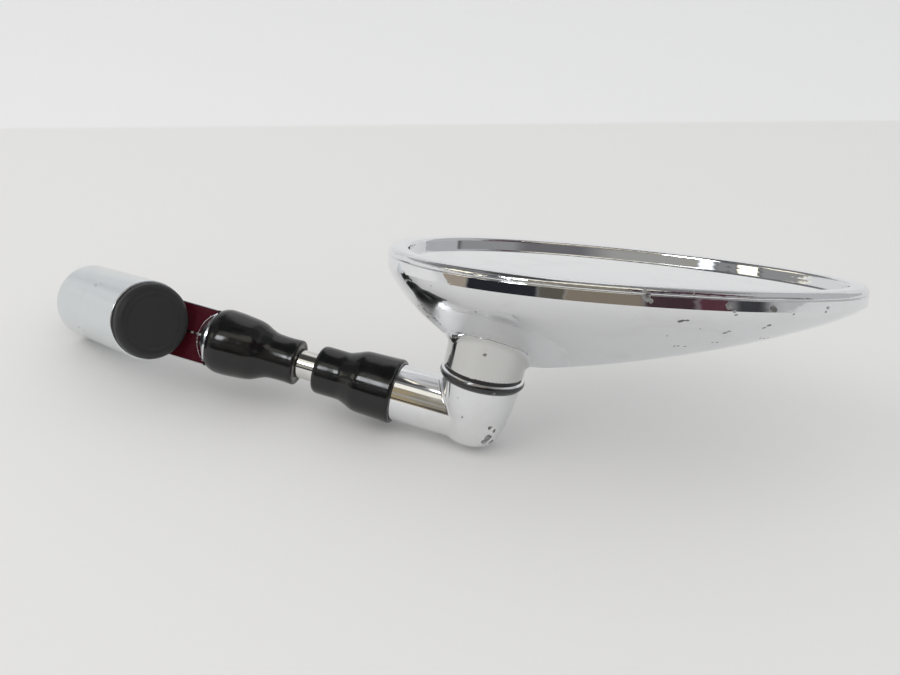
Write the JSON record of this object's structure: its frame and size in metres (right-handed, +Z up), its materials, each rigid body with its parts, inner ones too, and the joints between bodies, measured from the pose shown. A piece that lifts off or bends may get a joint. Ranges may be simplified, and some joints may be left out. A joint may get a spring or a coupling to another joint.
{
  "type": "motorcycle bar-end mirror",
  "caption": "Chromed rear-view mirror for a handlebar end: split bar clamp, rod arm with jam nuts under rubber boots, elbow, and a teardrop head on a friction swivel.",
  "frame": {"origin": "where the handlebar bore's axis crosses the arm's axis, inside the clamp", "axes": "+Z up from the bench the mirror is laid on, +X along the arm's plan direction from the clamp to the elbow"},
  "size_m": [0.2881, 0.086, 0.0787],
  "materials": {
    "chrome": "polished chrome plate, lightly pitted",
    "cap_rubber": "matt black rubber",
    "boot_rubber": "glossy black vinyl rubber",
    "plated_steel": "bright plated steel",
    "mirror": "silvered flat glass",
    "pad_foam": "closed-cell foam sheet"
  },
  "bodies": {
    "mount": {"bar_clamp": "chrome", "pinch_screw": "plated_steel", "end_cap": "cap_rubber"},
    "stem": {"stem_rod": "plated_steel", "clamp_nut": "plated_steel", "elbow_nut": "plated_steel", "clamp_boot": "boot_rubber", "elbow_boot": "boot_rubber"},
    "elbow": {"elbow": "chrome", "swivel_gasket": "boot_rubber", "swivel_stud": "plated_steel", "friction_washer": "plated_steel", "swivel_spring": "plated_steel", "spring_washer": "plated_steel", "swivel_nut": "plated_steel"},
    "head": {"mirror_housing": "chrome", "glass_pad": "pad_foam", "mirror_glass": "mirror", "bezel": "chrome"}
  },
  "joints": [
    {"name": "stem_turn", "type": "hinge", "parent": "mount", "child": "stem", "pos_m": [0.04326, 0, -0.00455], "axis": [0.9945, 0, -0.1045], "range_deg": [-180, 180]},
    {"name": "elbow_turn", "type": "hinge", "parent": "stem", "child": "elbow", "pos_m": [0.09945, 0, -0.01045], "axis": [0.9945, 0, -0.1045], "range_deg": [-180, 180]},
    {"name": "head_swivel", "type": "hinge", "parent": "elbow", "child": "head", "pos_m": [0.13197, 0.00373, 0.00239], "axis": [0.1018, 0.225, 0.969], "continuous": true}
  ]
}
